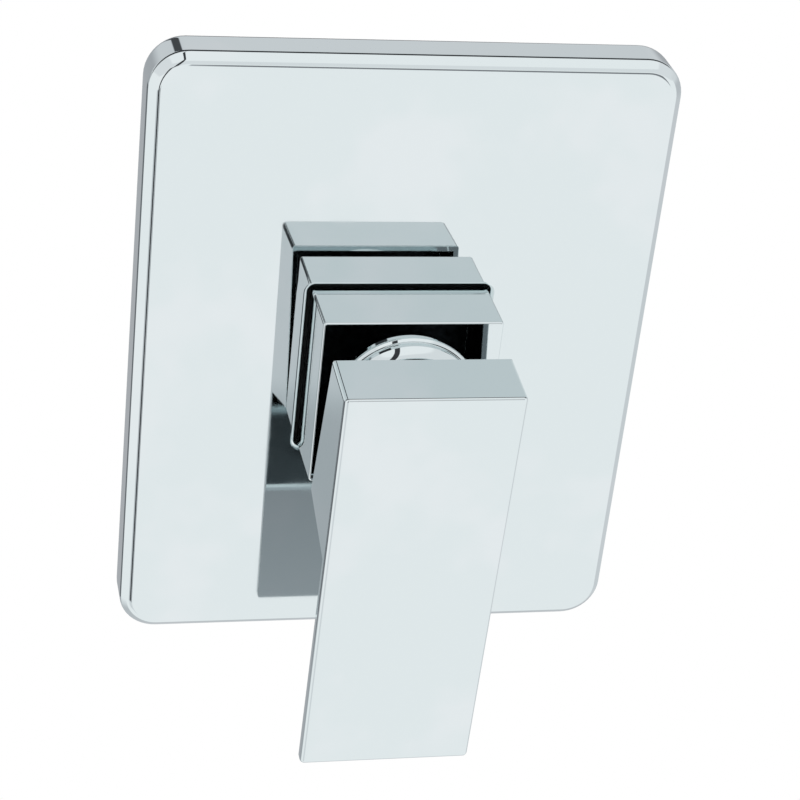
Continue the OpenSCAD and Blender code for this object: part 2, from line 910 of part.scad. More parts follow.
// Cut that lets the guide turn by the turn angle past the limit ring's lug
module stop_cut() {
    intersection() {
        tube(guide_r + 1, lug_in_r - run_gap, through);
        rotate([0, 0, 90])
            sector(through, turn_angle + lug_half + 1, through);
    }
}

// Wedge of a disc, open to the given angle on each side of X
module sector(r, half, h) {
    linear_extrude(h)
        polygon([
            [0, 0],
            for (i = [0 : 8])
                [r * cos(-half + i * half / 4), r * sin(-half + i * half / 4)]
        ]);
}

module limit_tabs(gap) {
    for (x = [-1, 1])
        translate([x * (guide_bore_r + neck_r) / 2, 0, limit_t])
            cube([2 * (neck_r - guide_bore_r), tab_w + 2 * gap, 2 * limit_t], center = true);
}

module limit_ring() {
    color(grey_plastic)
    outward(neck_top)
        union() {
            tube(neck_r - run_gap, guide_bore_r, limit_t);
            intersection() {
                tube(neck_r - 2 * run_gap, lug_in_r, limit_t - fit_gap);
                rotate([0, 0, 90])
                    sector(through, lug_half, limit_t - fit_gap);
            }
            intersection() {
                translate([0, 0, -limit_t - fit_gap / 2])
                    limit_tabs(0);
                translate([0, 0, -limit_t])
                    tube(neck_r - run_gap, guide_bore_r + run_gap, limit_t + eps);
            }
        }
}

module pivot_pin() {
    color(steel)
    outward(pivot_out)
        rotate([0, 90, 0])
            cylinder(h = 2 * guide_r - 4 * fit_gap, r = pin_r, center = true);
}

// Square stem with a round arm and a ball at its inner end
module lever_stem() {
    color(steel)
    along_stem()
        difference() {
            union() {
                translate([-stem_side / 2, -stem_side / 2, -stem_back])
                    cube([stem_side, stem_side, stem_len + stem_back]);
                translate([0, 0, -arm_len])
                    cylinder(h = arm_len - stem_back / 2, r = ball_r - arm_step);
                translate([0, 0, -arm_len])
                    rotate_extrude()
                        intersection() {
                            circle(ball_r, $fn = 64);
                            translate([0, -ball_r])
                                square([ball_r, 2 * ball_r]);
                        }
            }
            rotate([0, 90, 0])
                cylinder(h = through, r = pin_r + run_gap / 2, center = true);
        }
}

// Frame of the lever: Z out of its front face, Y up along it, origin at the rear top edge
module lever_frame() {
    along_stem()
        translate([0, block_rise, block_out])
            rotate([-wedge, 0, 0])
                children();
}

// Side view of the lever, drawn up (X) and out (Y), with bevelled front edges
module lever_side() {
    e = lever_edge;
    back = block_top - lever_t;
    polygon([
        [0, 0],
        [0, block_top - e],
        [-e, block_top],
        [-lever_len + e, block_top],
        [-lever_len, block_top - e],
        [-lever_len, back],
        [-block_h - foot_drop, back],
        [-block_h, block_top - block_foot]
    ]);
}

// Side view of the hollow in the block, open at the rear
module hollow_side() {
    back = block_top - lever_t;
    deep = -through / 4;
    foot_y = block_top - block_foot;
    foot_wall = lever_wall * sqrt(1 + foot_slope * foot_slope);
    polygon([
        [-lever_wall, deep],
        [-lever_wall, back],
        [-block_h - foot_drop + foot_wall, back],
        [-block_h + foot_slope * (foot_y - deep) + foot_wall, deep]
    ]);
}

// Solid outline of the lever, bevelled along its long edges too
module lever_outline() {
    e = lever_edge;
    half = lever_w / 2;
    intersection() {
        rotate([90, 0, 90])
            linear_extrude(lever_w + 2, center = true)
                lever_side();
        translate([0, through / 8, 0])
            rotate([90, 0, 0])
                linear_extrude(lever_len + through / 4)
                    polygon([
                        [-half, -through / 2], [half, -through / 2], [half, block_top - e],
                        [half - e, block_top], [e - half, block_top], [-half, block_top - e]
                    ]);
        translate([0, -lever_len / 2, -through / 2])
            linear_extrude(through)
                rounded(lever_w, lever_len, lever_corner);
    }
}

// Hollow block and long flat lever in one casting, with a square socket in a round boss
module handle_lever() {
    pillar_r = grub_r + pillar_wall;
    color(chrome)
    difference() {
        union() {
            lever_frame()
                difference() {
                    lever_outline();
                    rotate([90, 0, 90])
                        linear_extrude(lever_w - 2 * lever_wall, center = true)
                            hollow_side();
                }
            intersection() {
                lever_frame()
                    lever_outline();
                along_stem()
                    union() {
                        translate([0, 0, boss_rear])
                            cylinder(h = through, r = boss_r);
                        translate([0, 0, grub_out])
                            rotate([90, 0, 0])
                                cylinder(h = through, r = pillar_r);
                    }
            }
        }
        along_stem()
            translate([0, 0, (socket_end + block_out / 2) / 2])
                cube([socket_side, socket_side, socket_end - block_out / 2], center = true);
        along_stem()
            translate([0, 0, grub_out])
                rotate([90, 0, 0])
                    cylinder(h = through, r = grub_r);
    }
}

module grub_screw() {
    key_flats = grub_r;
    color(steel)
    along_stem()
        translate([0, -socket_side / 2, grub_out])
            rotate([90, 0, 0])
                difference() {
                    translate([0, 0, thread_gap / 2])
                        cylinder(h = grub_len, r = grub_r - thread_gap / 2);
                    translate([0, 0, grub_len - socket_depth])
                        hex_bar(key_flats, 2 * socket_depth);
                }
}

cover_plate();
plate_gasket();
sleeve_seal();
square_sleeve();
sleeve_adaptor();
dome_cap();
cartridge_nut();
valve_body();
hot_port();
cold_port();
shower_port();
lower_port();
outlet_plug();
plug_washer();
cartridge_housing();
cartridge_base();
base_seals();
chamber_seal();
fixed_disc();
moving_disc();
disc_driver();
spindle_guide();
guide_ring();
limit_ring();
pivot_pin();
lever_stem();
handle_lever();
grub_screw();
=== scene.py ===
import math
import bpy
import bmesh
from mathutils import Matrix, Vector


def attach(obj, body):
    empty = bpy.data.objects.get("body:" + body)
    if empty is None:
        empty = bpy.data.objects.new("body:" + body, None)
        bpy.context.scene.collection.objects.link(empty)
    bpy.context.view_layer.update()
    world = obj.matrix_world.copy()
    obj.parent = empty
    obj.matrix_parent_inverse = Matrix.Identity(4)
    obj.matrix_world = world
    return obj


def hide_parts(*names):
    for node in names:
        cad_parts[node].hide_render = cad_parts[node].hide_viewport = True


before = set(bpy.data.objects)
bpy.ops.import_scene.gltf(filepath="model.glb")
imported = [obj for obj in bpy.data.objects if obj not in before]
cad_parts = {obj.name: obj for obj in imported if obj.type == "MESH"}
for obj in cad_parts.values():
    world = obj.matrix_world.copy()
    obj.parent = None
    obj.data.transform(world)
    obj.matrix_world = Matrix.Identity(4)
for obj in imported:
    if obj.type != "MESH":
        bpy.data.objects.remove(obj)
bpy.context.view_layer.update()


# Cover plate. A rectangular wall plate pressed in brass with a broad bevelled rim and a square
# opening whose edge is rolled back into a lip. Polished and chrome-plated in front, dull behind.
# It slides over the square hub and lies on the wall. Every piece's sizes are in millimetres.
class Wire:
    """A socket's value in a node tree, with arithmetic on it."""

    def __init__(self, tree, socket):
        self.tree = tree
        self.socket = socket

    def math(self, operation, *others):
        node = self.tree.nodes.new("ShaderNodeMath")
        node.operation = operation
        for slot, value in zip(node.inputs, (self,) + others):
            join(self.tree, value, slot)
        return Wire(self.tree, node.outputs[0])

    def __add__(self, other):
        return self.math("ADD", other)

    __radd__ = __add__

    def __mul__(self, other):
        return self.math("MULTIPLY", other)

    __rmul__ = __mul__

    def __sub__(self, other):
        return self.math("SUBTRACT", other)

    def __rsub__(self, other):
        return self * -1.0 + other

    def __truediv__(self, other):
        return self.math("DIVIDE", other)

    def ramp(self, start, end, low=0.0, high=1.0):
        """low up to start and high from end on, with a soft change between them."""
        sockets = {"Value": self, "From Min": start, "From Max": end, "To Min": low, "To Max": high}
        return add_node(self.tree, "ShaderNodeMapRange", {"interpolation_type": "SMOOTHSTEP"},
                        sockets)["Result"]

    def band(self, low, high, soft):
        """1 between low and high, fading to 0 over soft on each side."""
        return self.ramp(low - soft, low) * (1 - self.ramp(high, high + soft))


def join(tree, value, slot):
    """Links a wire to a socket, or sets the socket to a plain value or an opaque colour."""
    if isinstance(value, Wire):
        tree.links.new(value.socket, slot)
    elif slot.type == "RGBA":
        slot.default_value = value + (1.0,)
    else:
        slot.default_value = value


def add_node(tree, kind, settings=None, sockets=None):
    """One node of any kind: its settings first, then its sockets; gives back its outputs by name."""
    node = tree.nodes.new(kind)
    for key, value in (settings or {}).items():
        if key == "stops":
            ramp = node.color_ramp
            while len(ramp.elements) < len(value):
                ramp.elements.new(0.5)
            for element, (place, colour) in zip(ramp.elements, value):
                element.position = place
                element.color = colour + (1.0,)
        else:
            setattr(node, key, value)
    for key, value in (sockets or {}).items():
        join(tree, value, node.inputs[key])
    return {out.name: Wire(tree, out) for out in node.outputs if out.enabled}


def new_finish(name):
    """An empty material and its node tree."""
    finish = bpy.data.materials.new(name)
    finish.use_nodes = True
    finish.node_tree.nodes.clear()
    return finish, finish.node_tree


def set_surface(tree, sockets):
    """Ends a material in a Principled shader with these values and links."""
    shader = add_node(tree, "ShaderNodeBsdfPrincipled", None, sockets)["BSDF"]
    add_node(tree, "ShaderNodeOutputMaterial", None, {"Surface": shader})


def noise(place, scale, detail=3.0, roughness=0.6):
    sockets = {"Vector": place, "Scale": scale, "Detail": detail, "Roughness": roughness}
    return add_node(place.tree, "ShaderNodeTexNoise", None, sockets)["Fac"]


def blend(factor, first, second):
    """The first colour, which passes into the second as the factor rises."""
    return add_node(factor.tree, "ShaderNodeMix", {"data_type": "RGBA"},
                    {"Factor": factor, "A": first, "B": second})["Result"]


def bumps(height, strength, distance):
    return add_node(height.tree, "ShaderNodeBump", None,
                    {"Strength": strength, "Distance": distance, "Height": height})["Normal"]


def polished_chrome(name, bright, clouded, smudge):
    """Bright plating: a clear reflection with the faint clouds and wipe marks of a handled plate."""
    finish, tree = new_finish(name)
    place = add_node(tree, "ShaderNodeTexCoord")["Object"]
    mirror = 0.02
    cloud = noise(place, scale=22.0)
    wiped = cloud.band(0.56, 1.0, 0.12) * noise(place, scale=160.0, detail=4.0)
    set_surface(tree, {"Base Color": blend(cloud.band(0.5, 1.0, 0.15), bright, clouded),
                       "Metallic": 1.0, "Roughness": mirror + wiped * smudge})
    return finish


chrome = polished_chrome("chrome", (0.772, 0.812, 0.824), (0.741, 0.796, 0.805), 0.05)


def dull_plating(name):
    """Plating on an unpolished pressing: a blurred reflection with faint drawing marks."""
    finish, tree = new_finish(name)
    place = add_node(tree, "ShaderNodeTexCoord")["Object"]
    drawn = add_node(tree, "ShaderNodeMapping", None, {"Vector": place, "Scale": (60.0, 60.0, 900.0)})
    marks = noise(drawn["Vector"], scale=1.0, detail=4.0)
    cloud = noise(place, scale=30.0)
    colour = blend(cloud.band(0.45, 1.0, 0.2), (0.56, 0.57, 0.57), (0.49, 0.50, 0.51))
    set_surface(tree, {"Base Color": colour, "Metallic": 1.0,
                       "Roughness": 0.30 + marks * 0.14 + cloud * 0.08,
                       "Normal": bumps(marks, strength=0.1, distance=0.0002)})
    return finish


plating = dull_plating("dull_plating")


def ring(w, h, r, out, mid, steps):
    """Rounded rectangle at a distance out of the wall, as points in metres."""
    points = []
    for corner, (sx, sz) in enumerate(((1, 1), (-1, 1), (-1, -1), (1, -1))):
        for i in range(steps + 1):
            a = math.pi / 2 * (corner + i / steps)
            points.append(Vector((
                (sx * (w / 2 - r) + r * math.cos(a)) / 1000,
                -out / 1000,
                (mid + sz * (h / 2 - r) + r * math.sin(a)) / 1000,
            )))
    return points


def soften(line, radii, steps):
    """Replaces the corners of an open line of 2-D points by arcs of the given radii."""
    done = [line[0]]
    for before, here, after, radius in zip(line, line[1:], line[2:], radii):
        corner = Vector(here)
        back = (Vector(before) - corner).normalized()
        ahead = (Vector(after) - corner).normalized()
        half = back.angle(ahead) / 2
        reach = radius / math.tan(half)
        centre = corner + (back + ahead).normalized() * (radius / math.sin(half))
        start = corner + back * reach - centre
        end = corner + ahead * reach - centre
        turn = math.copysign(math.pi - 2 * half, start.x * end.y - start.y * end.x)
        for i in range(steps + 1):
            a = turn * i / steps
            done.append((centre.x + start.x * math.cos(a) - start.y * math.sin(a),
                         centre.y + start.x * math.sin(a) + start.y * math.cos(a)))
    done.append(line[-1])
    return done


def new_object(name, shape):
    """Object made of a bmesh."""
    mesh = bpy.data.meshes.new(name)
    shape.to_mesh(mesh)
    shape.free()
    piece = bpy.data.objects.new(name, mesh)
    bpy.context.scene.collection.objects.link(piece)
    return piece


def loft(name, rings, first_inside=None):
    """Closed skin through rings of equally many points, the last joined to the first. From the
    band first_inside on, it takes the second finish."""
    shape = bmesh.new()
    rows = [[shape.verts.new(p) for p in points] for points in rings]
    for number, (a, b) in enumerate(zip(rows, rows[1:] + rows[:1])):
        inside = first_inside is not None and number >= first_inside
        for i in range(len(a)):
            j = (i + 1) % len(a)
            face = shape.faces.new((a[i], a[j], b[j], b[i]))
            face.material_index = 1 if inside else 0
    bmesh.ops.remove_doubles(shape, verts=shape.verts, dist=1e-6)
    bmesh.ops.recalc_face_normals(shape, faces=shape.faces)
    return new_object(name, shape)


def settle(piece):
    """Turns a piece's modifiers into plain mesh."""
    mesh = bpy.data.meshes.new_from_object(piece.evaluated_get(bpy.context.evaluated_depsgraph_get()))
    piece.modifiers.clear()
    piece.data = mesh


def finish_piece(piece, finish, body, slot, *stands_for, angle=28):
    """Smooth shading up to an edge angle, the finish, and the piece's place on its body."""
    for face in piece.data.polygons:
        face.use_smooth = True
    piece.data.set_sharp_from_angle(angle=math.radians(angle))
    even = piece.modifiers.new("even", "WEIGHTED_NORMAL")
    even.keep_sharp = True
    settle(piece)
    if finish:
        piece.data.materials.clear()
        piece.data.materials.append(finish)
    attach(piece, body)
    if stands_for:
        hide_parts(*stands_for)


plate_w, plate_h, plate_depth, plate_mid = 140, 174, 13.4, 2.5
plate_corner, plate_bevel, side_round, face_round = 10.5, 2.4, 1.3, 2.4
plate_wall, rim_wall, rim_skin, gasket_t = 1.8, 2.4, 1.0, 1.6
drawn_in, drawn_deep = 0.95, 2.6
opening, opening_corner = 49.6, 2
lip_depth, lip_wall, lip_round, lip_edge = 8.5, 1.6, 1.3, 0.3
rim_reach, lip_reach = 5, 4
corner_steps = 12

# Edge drawn in towards the wall, side, bevel and face, as inset from the outline and distance out
rim_line = [(drawn_in * (1 - math.sin(math.radians(a))), drawn_deep * (1 - math.cos(math.radians(a))))
            for a in range(0, 90, 10)]
rim_line += soften([(0, drawn_deep), (0, plate_depth - plate_bevel), (plate_bevel, plate_depth),
                    (rim_reach, plate_depth)], [side_round, face_round], 8)
# Face, rolled edge of the opening, lip and its back, as distance from the opening's wall
face_back, lip_end = plate_depth - plate_wall, plate_depth - lip_depth
lip_line = soften([(lip_reach, plate_depth), (0, plate_depth), (0, lip_end), (lip_wall, lip_end),
                   (lip_wall, face_back)], [lip_round, lip_edge, lip_edge], 6)
# Hollow behind the face and seat of the gasket, as inset from the outline
back_line = [(rim_wall, face_back), (rim_wall, gasket_t), (rim_skin, gasket_t), (rim_skin, 0.0)]

rings = [ring(plate_w - 2 * a, plate_h - 2 * a, plate_corner - a, u, plate_mid, corner_steps)
         for a, u in rim_line]
rings += [ring(opening + 2 * a, opening + 2 * a, opening_corner + a, u, 0, corner_steps)
          for a, u in lip_line]
rings += [ring(plate_w - 2 * a, plate_h - 2 * a, plate_corner - a / 2, u, plate_mid, corner_steps)
          for a, u in back_line]
# The lip's back and all that lies behind the face stay dull
first_dull = len(rim_line) + len(lip_line) - 2
cover_plate = loft("wall_plate", rings, first_dull)
cover_plate.data.materials.append(chrome)
cover_plate.data.materials.append(plating)
finish_piece(cover_plate, None, "body", "chrome", "cover_plate")


# Rubber pieces. The gasket that keeps water from running in behind the plate, the square ring in
# the plate's opening that grips the hub, and the rings and washer inside the valve. Black moulded
# rubber, matt with a fine grain.
def moulded_rubber(name, dark, pale):
    finish, tree = new_finish(name)
    place = add_node(tree, "ShaderNodeTexCoord")["Object"]
    grain = noise(place, scale=900.0)
    cloud = noise(place, scale=60.0, detail=2.0, roughness=0.5)
    set_surface(tree, {"Base Color": blend(cloud, dark, pale), "Roughness": 0.62 + grain * 0.2,
                       "Normal": bumps(grain, strength=0.25, distance=0.0002)})
    return finish


def dress(names, finish):
    """Gives CAD nodes a finish in place of their plain one."""
    for name in names:
        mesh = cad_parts[name].data
        mesh.materials.clear()
        mesh.materials.append(finish)


dress(["plate_gasket", "sleeve_seal", "plug_washer", "base_seals", "chamber_seal", "guide_ring"],
      moulded_rubber("black_rubber", (0.018, 0.018, 0.019), (0.029, 0.029, 0.031)))


# Square hub. A square brass tube with a closed front, in which a round opening is bored for the
# dome. Mirror-polished and chrome-plated, its edges only just broken.
front_out = 32.4
hub, hub_wall, hub_in, hub_bore_r = 48, 2, 3, 18.2
hub_corner, least_corner, inner_corner = 0.8, 0.4, 1
hub_edge, bore_edge = 0.55, 0.2
round_steps = 24

# Side and front face as inset from the outline, then the bore as distance inwards from its wall
hub_line = soften([(0, -hub_in), (0, front_out), (2 * hub_wall, front_out)], [hub_edge], 5)
bore_line = soften([(-1, front_out), (0, front_out), (0, front_out - hub_wall)], [bore_edge], 3)
rings = [ring(hub - 2 * a, hub - 2 * a, max(hub_corner - a, least_corner), u, 0, round_steps)
         for a, u in hub_line]
rings += [ring(2 * (hub_bore_r - a), 2 * (hub_bore_r - a), hub_bore_r - a, u, 0, round_steps)
          for a, u in bore_line]
rings += [ring(hub - 2 * hub_wall, hub - 2 * hub_wall, inner_corner, u, 0, round_steps)
          for u in (front_out - hub_wall, -hub_in)]
finish_piece(loft("square_hub", rings), chrome, "body", "chrome", "square_sleeve")


# Dome cap. Turned from brass: a flange that clamps the hub's front, a step, and a low dome with
# a mouth for the stem. Polished and chrome-plated.
dome_r, mouth_r, dome_wall, dome_rise = 19.6, 10.6, 1.2, 5.4
skirt_in_r, skirt_r, skirt_rear = 17.0, 18.0, 23.0
flange, flange_bevel, flange_step, tier, crown = 1, 0.6, 0.9, 2, 4.4
low, top = front_out + flange, front_out + dome_rise
tier_top, tier_under = low + tier, low + tier - dome_wall
step_r, crown_r = dome_r - flange_step, mouth_r + crown
room_r, rise = step_r - dome_wall, top - tier_top

# Skirt, flange and step, dome, mouth and the dome's inside, as radius and distance out of the
# wall, with the radii of the edges
dome_line = soften([(skirt_in_r, skirt_rear), (skirt_r, skirt_rear), (skirt_r, front_out),
                    (dome_r, front_out), (dome_r, low - flange_bevel), (dome_r - flange_bevel, low),
                    (step_r, low), (step_r, tier_top)], [0.2, 0.2, 0.2, 0.25, 0.15, 0.1], 4)
dome_line += [(step_r - (step_r - crown_r) * a / 90, tier_top + rise * math.sin(math.radians(a)))
              for a in range(6, 91, 6)]
dome_line += soften([(crown_r, top), (mouth_r, top), (mouth_r, top - dome_wall),
                     (crown_r, top - dome_wall)], [0.45, 0.2], 4)[1:]
dome_line += [(room_r - (room_r - crown_r) * a / 90, tier_under + rise * math.sin(math.radians(a)))
              for a in range(80, -1, -10)]
dome = loft("dome", [ring(2 * r, 2 * r, r, u, 0, round_steps) for r, u in dome_line])
finish_piece(dome, chrome, "body", "chrome", "dome_cap", angle=30)


# Lever. One zinc casting: a wedge-shaped block, hollow at the back round a boss for the stem, and
# a long thin flat lever below it. The outside is polished and chrome-plated, the hollow is left
# as cast under a thin dull coat whose nearly black colour is painted shade for the hollow's dark inside.
pivot_out, closed_tilt = 20.4, math.radians(13.5)
block_out, block_rise = 19.8, 25.9
lever_w, lever_len, lever_t = 47.4, 121.4, 3.2
block_top, block_foot, block_h, foot_drop = 18, 25.6, 46.2, 6.1
lever_wall, lever_round, edge_break = 1.6, 1.3, 0.2
rear_share, top_share = 0.22, 0.5
boss_r, boss_rear = 8.6, 20.8
socket_side, socket_rear, socket_floor = 8.2, 10, 35.5
pillar_r, screw_out, screw_r, screw_reach = 4.5, 29, 2.5, 60

# The stem's frame has X to the right, Y up and Z out along the stem. The block's frame starts at
# its rear top edge and is turned back by the wedge
wedge = math.atan((block_foot - block_top) / block_h)
out_of_wall = Matrix(((1, 0, 0, 0), (0, 0, -1, 0), (0, 1, 0, 0), (0, 0, 0, 1)))
stem_place = out_of_wall @ Matrix.Translation((0, 0, pivot_out)) @ Matrix.Rotation(closed_tilt, 4, "X")
lever_place = (stem_place @ Matrix.Translation((0, block_rise, block_out))
               @ Matrix.Rotation(-wedge, 4, "X"))


def shaded_hollow(name):
    """Unpolished casting under a thin dull coat, coloured nearly black: painted shade for the hollow's
    inside, varied by a fine grain.
    """
    finish, tree = new_finish(name)
    place = add_node(tree, "ShaderNodeTexCoord")["Object"]
    grain = noise(place, scale=420.0, detail=5.0, roughness=0.65)
    # The nearly black stops paint the shade that falls inside the hollow into its colour
    stops = [(0.3, (0.010, 0.011, 0.012)), (0.7, (0.030, 0.032, 0.035))]
    colour = add_node(tree, "ShaderNodeValToRGB", {"stops": stops}, {"Fac": grain})["Color"]
    set_surface(tree, {"Base Color": colour, "Metallic": 1.0, "Roughness": 0.32 + grain * 0.2,
                       "Normal": bumps(grain, strength=0.3, distance=0.0003)})
    return finish


# Painted shade: the finish of the hollow and of the boss, pillar, socket and bore cut into it
hollow_shade = shaded_hollow("hollow_painted_shade")


def place_piece(name, shape, place, finish):
    """Object made of a bmesh in millimetres, moved to its place and given a finish."""
    bmesh.ops.recalc_face_normals(shape, faces=shape.faces)
    piece = new_object(name, shape)
    piece.data.transform(Matrix.Scale(0.001, 4) @ place)
    piece.data.materials.append(finish)
    return piece


def bar(near, far):
    """Closed bar between two outlines of equally many points."""
    shape = bmesh.new()
    a = [shape.verts.new(p) for p in near]
    b = [shape.verts.new(p) for p in far]
    shape.faces.new(a)
    shape.faces.new(b)
    for i in range(len(a)):
        j = (i + 1) % len(a)
        shape.faces.new((a[i], a[j], b[j], b[i]))
    return shape


def prism(side, width):
    """Side view, given as up and out, made as wide as the given width."""
    return bar([(-width / 2, y, z) for y, z in side], [(width / 2, y, z) for y, z in side])


def round_edges(piece, radius, steps, share):
    """Rounds the outer edges of a piece, each by its share of the radius."""
    shape = bmesh.new()
    shape.from_mesh(piece.data)
    shape.normal_update()
    weight = shape.edges.layers.float.new("bevel_weight_edge")
    for edge in shape.edges:
        if edge.is_convex:
            edge[weight] = share(edge)
    shape.to_mesh(piece.data)
    shape.free()
    bevel = piece.modifiers.new("bevel", "BEVEL")
    bevel.limit_method = "WEIGHT"
    bevel.width = radius / 1000
    bevel.segments = steps
    settle(piece)


def carve(piece, other, operation="DIFFERENCE"):
    """Cuts another piece out of this one, or adds it, and keeps the other's finish on the cut."""
    cut = piece.modifiers.new("carve", "BOOLEAN")
    cut.operation = operation
    cut.solver = "EXACT"
    cut.material_mode = "TRANSFER"
    cut.object = other
    settle(piece)
    bpy.data.objects.remove(other)


def lever_rounding(edge):
    """Full at the edges that reach the front face, less at its upper edge, little at the rear."""
    touching = 1e-5
    front = [v for v in edge.verts if v.co.z > block_top / 1000 - touching]
    if not front:
        return rear_share
    return top_share if len(front) == 2 and min(v.co.y for v in front) > -touching else 1.0


# Rounded while it still lies straight in its own frame, then moved to its place
back = block_top - lever_t
lever_side = [(0, 0), (0, block_top), (-lever_len, block_top), (-lever_len, back),
              (-block_h - foot_drop, back), (-block_h, block_top - block_foot)]
lever = place_piece("lever", prism(lever_side, lever_w), Matrix(), chrome)
round_edges(lever, lever_round, 6, lever_rounding)
lever.data.transform(Matrix.Scale(0.001, 4) @ lever_place @ Matrix.Scale(1000, 4))

# The hollow, cut from well behind the block, its foot parallel to the block's
well_behind = -20
foot_slope = foot_drop / (block_foot - lever_t)
foot_wall = lever_wall * math.hypot(1, foot_slope)
foot_there = -block_h + foot_slope * (block_top - block_foot - well_behind) + foot_wall
hollow_side = [(-lever_wall, well_behind), (-lever_wall, back),
               (-block_h - foot_drop + foot_wall, back), (foot_there, well_behind)]
hollow = prism(hollow_side, lever_w - 2 * lever_wall)
carve(lever, place_piece("hollow", hollow, lever_place, hollow_shade))


def on_front(x, y):
    """Point of the stem's frame in the middle of the front wall."""
    inside = block_top - lever_t / 2
    return (x, y, block_out + (inside - math.sin(wedge) * (y - block_rise)) / math.cos(wedge))


def on_foot(x, z):
    """Point of the stem's frame in the middle of the block's foot wall."""
    foot = -block_h + foot_slope * (block_top - block_foot) + foot_wall / 2
    up = foot + (z - block_out) * (math.sin(wedge) - foot_slope * math.cos(wedge))
    return (x, block_rise + up / (math.cos(wedge) + foot_slope * math.sin(wedge)), z)


# Boss and pillar are added between the walls, then the stem's socket and the screw's bore are cut
circle = [(math.cos(math.radians(7.5 * i)), math.sin(math.radians(7.5 * i))) for i in range(48)]
square = [(socket_side / 2 * x, socket_side / 2 * y) for x, y in ((-1, -1), (1, -1), (1, 1), (-1, 1))]
boss = bar([(boss_r * x, boss_r * y, boss_rear) for x, y in circle],
           [on_front(boss_r * x, boss_r * y) for x, y in circle])
pillar = bar([(pillar_r * x, 0, screw_out + pillar_r * z) for x, z in circle],
             [on_foot(pillar_r * x, screw_out + pillar_r * z) for x, z in circle])
socket = bar([(x, y, socket_rear) for x, y in square], [(x, y, socket_floor) for x, y in square])
screw_bore = bar([(screw_r * x, 0, screw_out + screw_r * z) for x, z in circle],
                 [(screw_r * x, -screw_reach, screw_out + screw_r * z) for x, z in circle])
carve(lever, place_piece("boss", boss, stem_place, hollow_shade), "UNION")
carve(lever, place_piece("pillar", pillar, stem_place, hollow_shade), "UNION")
carve(lever, place_piece("socket", socket, stem_place, hollow_shade))
carve(lever, place_piece("bore", screw_bore, stem_place, hollow_shade))


def break_edges(piece, width, angle):
    """Takes the sharpness off edges steeper than the angle."""
    shape = bmesh.new()
    shape.from_mesh(piece.data)
    shape.normal_update()
    edges = [e for e in shape.edges if e.is_manifold and e.calc_face_angle() > math.radians(angle)]
    bmesh.ops.bevel(shape, geom=edges, offset=width / 1000, offset_type="OFFSET", segments=2,
                    profile=0.5, affect="EDGES", clamp_overlap=True)
    shape.to_mesh(piece.data)
    shape.free()


break_edges(lever, edge_break, 50)
finish_piece(lever, None, "lever", "chrome", "handle_lever", angle=30)


# Brass pieces. The body behind the wall is a sand casting into which four turned ports are
# screwed. The ring nut, the plug and the lever's stem are turned from bar. Bare brass, a little
# dull where cast.
def bare_brass(name, pale, deep, grain_size, rough, relief):
    """Brass that darkens in clouds; the grain is coarse sand where cast, fine tool marks where cut."""
    finish, tree = new_finish(name)
    place = add_node(tree, "ShaderNodeTexCoord")["Object"]
    grain = noise(place, scale=grain_size, detail=5.0, roughness=0.65)
    cloud = noise(place, scale=48.0, detail=4.0, roughness=0.62)
    stained = cloud.band(0.55, 1.0, 0.1)
    colour = add_node(tree, "ShaderNodeValToRGB", {"stops": [(0.32, deep), (0.66, pale)]},
                      {"Fac": cloud * 0.8 + grain * 0.2})["Color"]
    set_surface(tree, {"Base Color": colour, "Metallic": 1.0,
                       "Roughness": rough + grain * 0.12 + stained * 0.08,
                       "Normal": bumps(grain, strength=relief, distance=0.0004)})
    return finish


def broken_copy(name, finish, width):
    """Skin of a CAD node with its edges broken, which stands in for the node."""
    shape = bmesh.new()
    shape.from_mesh(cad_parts[name].data)
    bmesh.ops.remove_doubles(shape, verts=shape.verts, dist=2e-6)
    bmesh.ops.dissolve_limit(shape, angle_limit=math.radians(0.4), verts=shape.verts, edges=shape.edges)
    piece = new_object(name + "_skin", shape)
    bevel = piece.modifiers.new("bevel", "BEVEL")
    bevel.limit_method = "ANGLE"
    bevel.angle_limit = math.radians(34)
    bevel.width = width / 1000
    bevel.segments = 2
    settle(piece)
    finish_piece(piece, finish, "body", "brass", name, angle=32)


cast_brass = bare_brass("cast_brass", (0.74, 0.54, 0.26), (0.50, 0.34, 0.15), 520.0, 0.40, 0.8)
turned_brass = bare_brass("turned_brass", (0.88, 0.67, 0.33), (0.70, 0.49, 0.21), 1500.0, 0.20, 0.04)
broken_copy("valve_body", cast_brass, 0.5)
for name in ("hot_port", "cold_port", "shower_port", "lower_port", "cartridge_nut", "outlet_plug"):
    broken_copy(name, turned_brass, 0.3)
dress(["lever_stem"], turned_brass)


# Threads. The pipe thread cut in each open port, one three-sided ridge that runs in a helix and
# fades out at both ends. Bright where the tap has cut. A node tree winds it from its sizes.
port_y = 35
points_per_turn, fading_points = 40, 12
thread_sizes = {"Bore radius": 9.5, "Ridge": 0.75, "Pitch": 1.81, "Mouth": 40.4, "Length": 11.0,
                "Half foot": 0.42, "Buried": 0.1}


